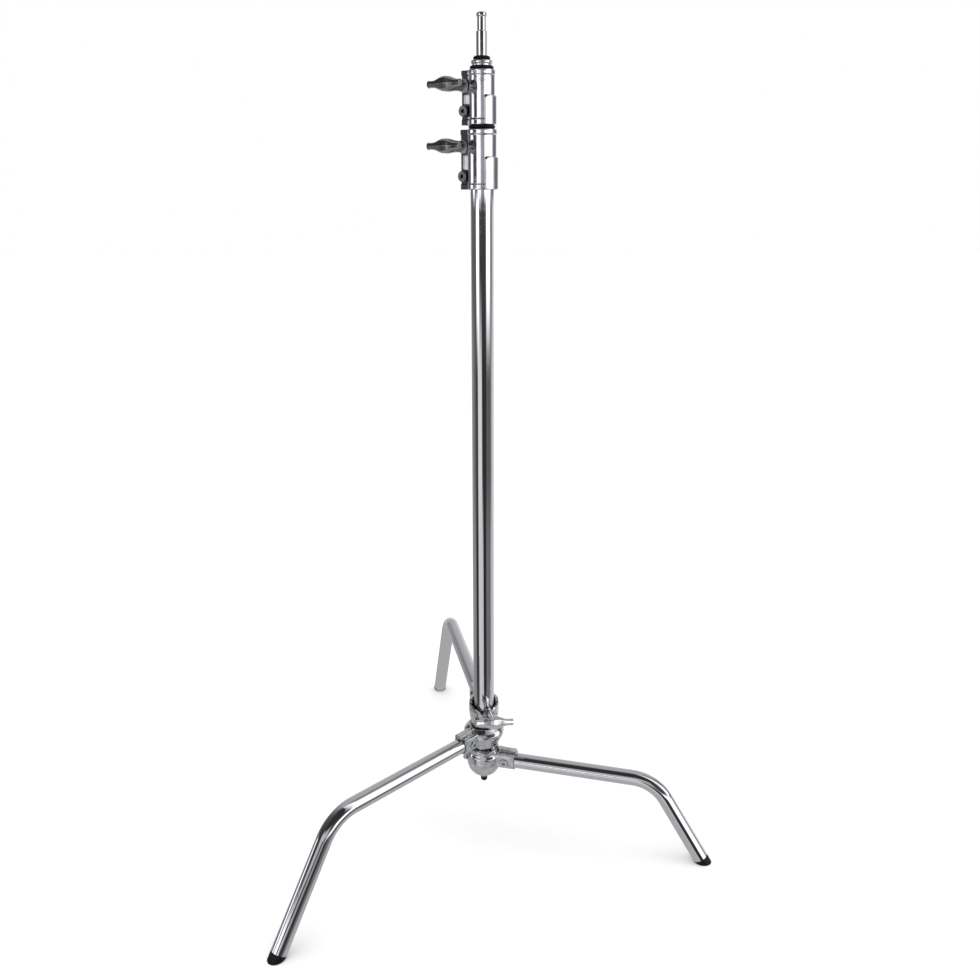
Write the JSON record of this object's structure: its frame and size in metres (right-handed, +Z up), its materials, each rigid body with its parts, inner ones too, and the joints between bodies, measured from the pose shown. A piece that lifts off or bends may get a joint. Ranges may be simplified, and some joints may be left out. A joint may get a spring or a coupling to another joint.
{
  "type": "light stand",
  "caption": "Chromed C stand: three bent tube legs that turn to nest, one of them sliding, a telescoping column with T handle collars and a lamp pin.",
  "frame": {"origin": "middle of the footprint, on the floor; the column axis is at x -30.4 mm, y -90.0 mm", "axes": "+Z up along the column; the viewer of the three-quarter front view looks along +Y"},
  "size_m": [0.6976, 0.8124, 1.3385],
  "materials": {
    "chrome_tube": "polished chrome plate",
    "cast_metal": "chromed casting, fine grain",
    "collar_metal": "chromed casting, satin",
    "handle_metal": "chromed casting, satin",
    "steel_hardware": "zinc plated, satin",
    "black_steel": "blackened",
    "black_rubber": "matte moulded rubber",
    "black_nylon": "matte nylon",
    "brass": "turned"
  },
  "bodies": {
    "base": {"column_tube": "chrome_tube", "right_knuckle": "cast_metal", "right_leg_tube": "chrome_tube", "right_leg_pin": "steel_hardware", "right_foot": "black_rubber", "stop_pin": "steel_hardware", "lug_pin": "steel_hardware", "thrust_washer": "black_nylon", "base_bolt": "steel_hardware", "base_spacer": "steel_hardware", "base_nut": "black_steel", "lower_collar": "collar_metal", "lower_clamp_screw": "steel_hardware", "lower_clamp_nut": "steel_hardware", "lower_handle_nut": "steel_hardware", "lower_handle_washer": "steel_hardware"},
    "left_leg": {"left_knuckle": "cast_metal", "left_leg_tube": "chrome_tube", "left_leg_pin": "steel_hardware", "left_foot": "black_rubber"},
    "rear_bush": {"rear_liner": "black_nylon"},
    "rear_leg": {"rear_sleeve": "cast_metal", "rear_leg_tube": "chrome_tube", "rear_leg_pin": "steel_hardware", "rear_foot": "black_rubber", "pressure_pad": "brass"},
    "rear_lock": {"lock_handle": "handle_metal", "lock_screw": "steel_hardware"},
    "lower_lock": {"lower_handle": "handle_metal", "lower_handle_bolt": "steel_hardware"},
    "riser_1_guide": {"riser_1_bush": "black_nylon"},
    "riser_1": {"riser_1_tube": "chrome_tube", "riser_1_plug": "black_nylon", "riser_1_bumper": "black_rubber", "upper_collar": "collar_metal", "upper_clamp_screw": "steel_hardware", "upper_clamp_nut": "steel_hardware", "upper_handle_nut": "steel_hardware", "upper_handle_washer": "steel_hardware"},
    "upper_lock": {"upper_handle": "handle_metal", "upper_handle_bolt": "steel_hardware"},
    "riser_2_guide": {"riser_2_bush": "black_nylon"},
    "riser_2": {"riser_2_tube": "chrome_tube", "riser_2_plug": "black_nylon", "riser_2_bumper": "black_rubber", "top_boss": "chrome_tube", "pin_ring": "black_rubber", "cross_pin": "steel_hardware", "baby_pin": "chrome_tube"}
  },
  "joints": [
    {"name": "left_leg_swivel", "type": "hinge", "parent": "base", "child": "left_leg", "pos_m": [-0.03043, -0.08997, 0.1825], "axis": [0, 0, 1], "range_deg": [0, 120.1]},
    {"name": "rear_leg_slide", "type": "slide", "parent": "base", "child": "rear_bush", "axis": [0, 0, 1], "range_m": [0, 0.82]},
    {"name": "rear_leg_swivel", "type": "hinge", "parent": "rear_bush", "child": "rear_leg", "pos_m": [-0.03043, -0.08997, 0.2355], "axis": [0, 0, -1], "range_deg": [-123.2, 116.7]},
    {"name": "rear_lock_turn", "type": "hinge", "parent": "rear_leg", "child": "rear_lock", "pos_m": [-0.03043, -0.08997, 0.231], "axis": [0.3338, -0.9426, 0], "range_deg": [0, 450]},
    {"name": "lower_lock_turn", "type": "hinge", "parent": "base", "child": "lower_lock", "pos_m": [-0.05218, -0.07297, 1.1531], "axis": [-0.6157, -0.788, 0], "range_deg": [0, 450]},
    {"name": "riser_1_slide", "type": "slide", "parent": "base", "child": "riser_1_guide", "axis": [0, 0, 1], "range_m": [0, 0.94]},
    {"name": "riser_1_turn", "type": "hinge", "parent": "riser_1_guide", "child": "riser_1", "pos_m": [-0.03043, -0.08997, 1], "axis": [0, 0, 1], "continuous": true},
    {"name": "upper_lock_turn", "type": "hinge", "parent": "riser_1", "child": "upper_lock", "pos_m": [-0.05021, -0.07451, 1.2386], "axis": [-0.6157, -0.788, 0], "range_deg": [0, 450]},
    {"name": "riser_2_slide", "type": "slide", "parent": "riser_1", "child": "riser_2_guide", "axis": [0, 0, 1], "range_m": [0, 0.98]},
    {"name": "riser_2_turn", "type": "hinge", "parent": "riser_2_guide", "child": "riser_2", "pos_m": [-0.03043, -0.08997, 1.2], "axis": [0, 0, 1], "continuous": true}
  ]
}
